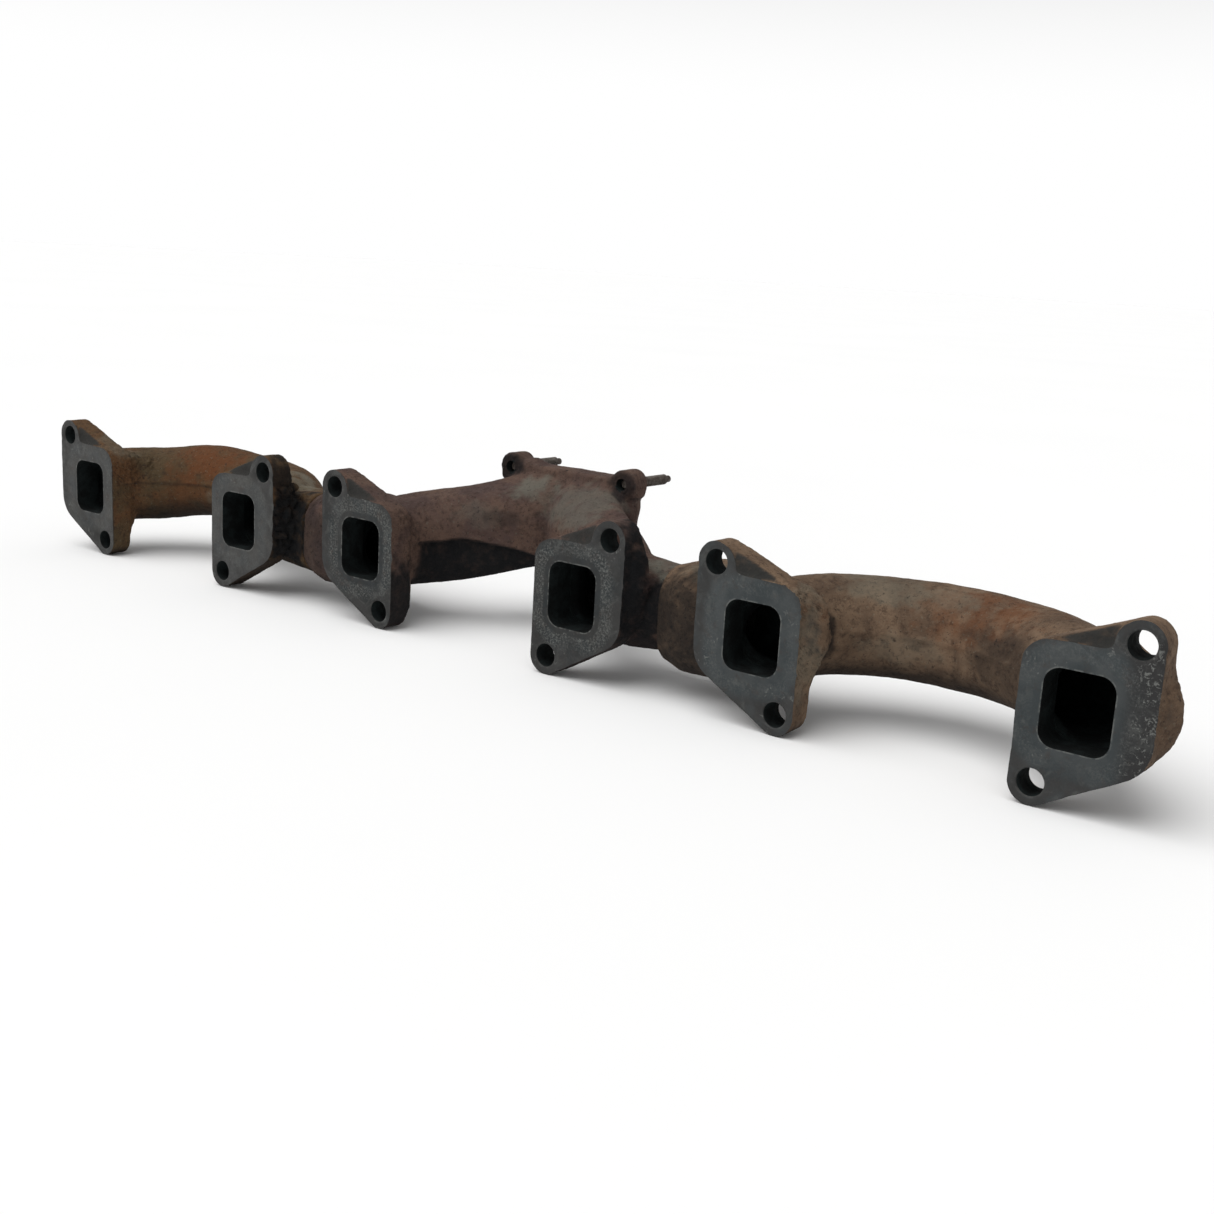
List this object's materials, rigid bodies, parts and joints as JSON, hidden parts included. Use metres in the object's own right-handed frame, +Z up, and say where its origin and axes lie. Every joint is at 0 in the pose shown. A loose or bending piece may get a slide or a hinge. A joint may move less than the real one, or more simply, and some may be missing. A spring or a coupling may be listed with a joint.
{
  "type": "exhaust manifold",
  "caption": "Cast iron exhaust manifold in slip-jointed sections, with angled two-bolt port flanges and a divided turbocharger flange with studs.",
  "frame": {"origin": "centre of the turbocharger stud pattern, on the face of the turbocharger flange", "axes": "+X along the engine towards the last cylinder, +Y away from the cylinder head and out of the turbocharger flange, +Z up"},
  "size_m": [0.6802, 0.118, 0.0886],
  "materials": {
    "rusted_casting": "rough rusted sand casting with machined gasket faces",
    "ring_steel": "ground, heat stained",
    "stud_steel": "rusted rolled thread"
  },
  "bodies": {
    "centre": {"centre_section": "rusted_casting", "turbo_stud_front_lower": "stud_steel", "turbo_stud_front_upper": "stud_steel", "turbo_stud_rear_lower": "stud_steel", "turbo_stud_rear_upper": "stud_steel"},
    "front_rings": {"front_seal_ring_1": "ring_steel", "front_seal_ring_2": "ring_steel", "front_seal_ring_3": "ring_steel", "front_seal_ring_4": "ring_steel"},
    "front": {"front_section": "rusted_casting"},
    "rear_rings": {"rear_seal_ring_1": "ring_steel", "rear_seal_ring_2": "ring_steel", "rear_seal_ring_3": "ring_steel", "rear_seal_ring_4": "ring_steel"},
    "rear": {"rear_section": "rusted_casting"}
  },
  "joints": [
    {"name": "front_slip", "type": "slide", "parent": "centre", "child": "front_rings", "axis": [-1, 0, 0], "range_m": [-0.0014, 0.005]},
    {"name": "front_swivel", "type": "hinge", "parent": "front_rings", "child": "front", "pos_m": [-0.1182, -0.054, -0.021], "axis": [1, 0, 0], "continuous": true},
    {"name": "rear_swivel", "type": "hinge", "parent": "centre", "child": "rear_rings", "pos_m": [0.1238, -0.054, -0.021], "axis": [1, 0, 0], "continuous": true},
    {"name": "rear_slip", "type": "slide", "parent": "rear_rings", "child": "rear", "axis": [1, 0, 0], "range_m": [-0.0014, 0.005]}
  ]
}
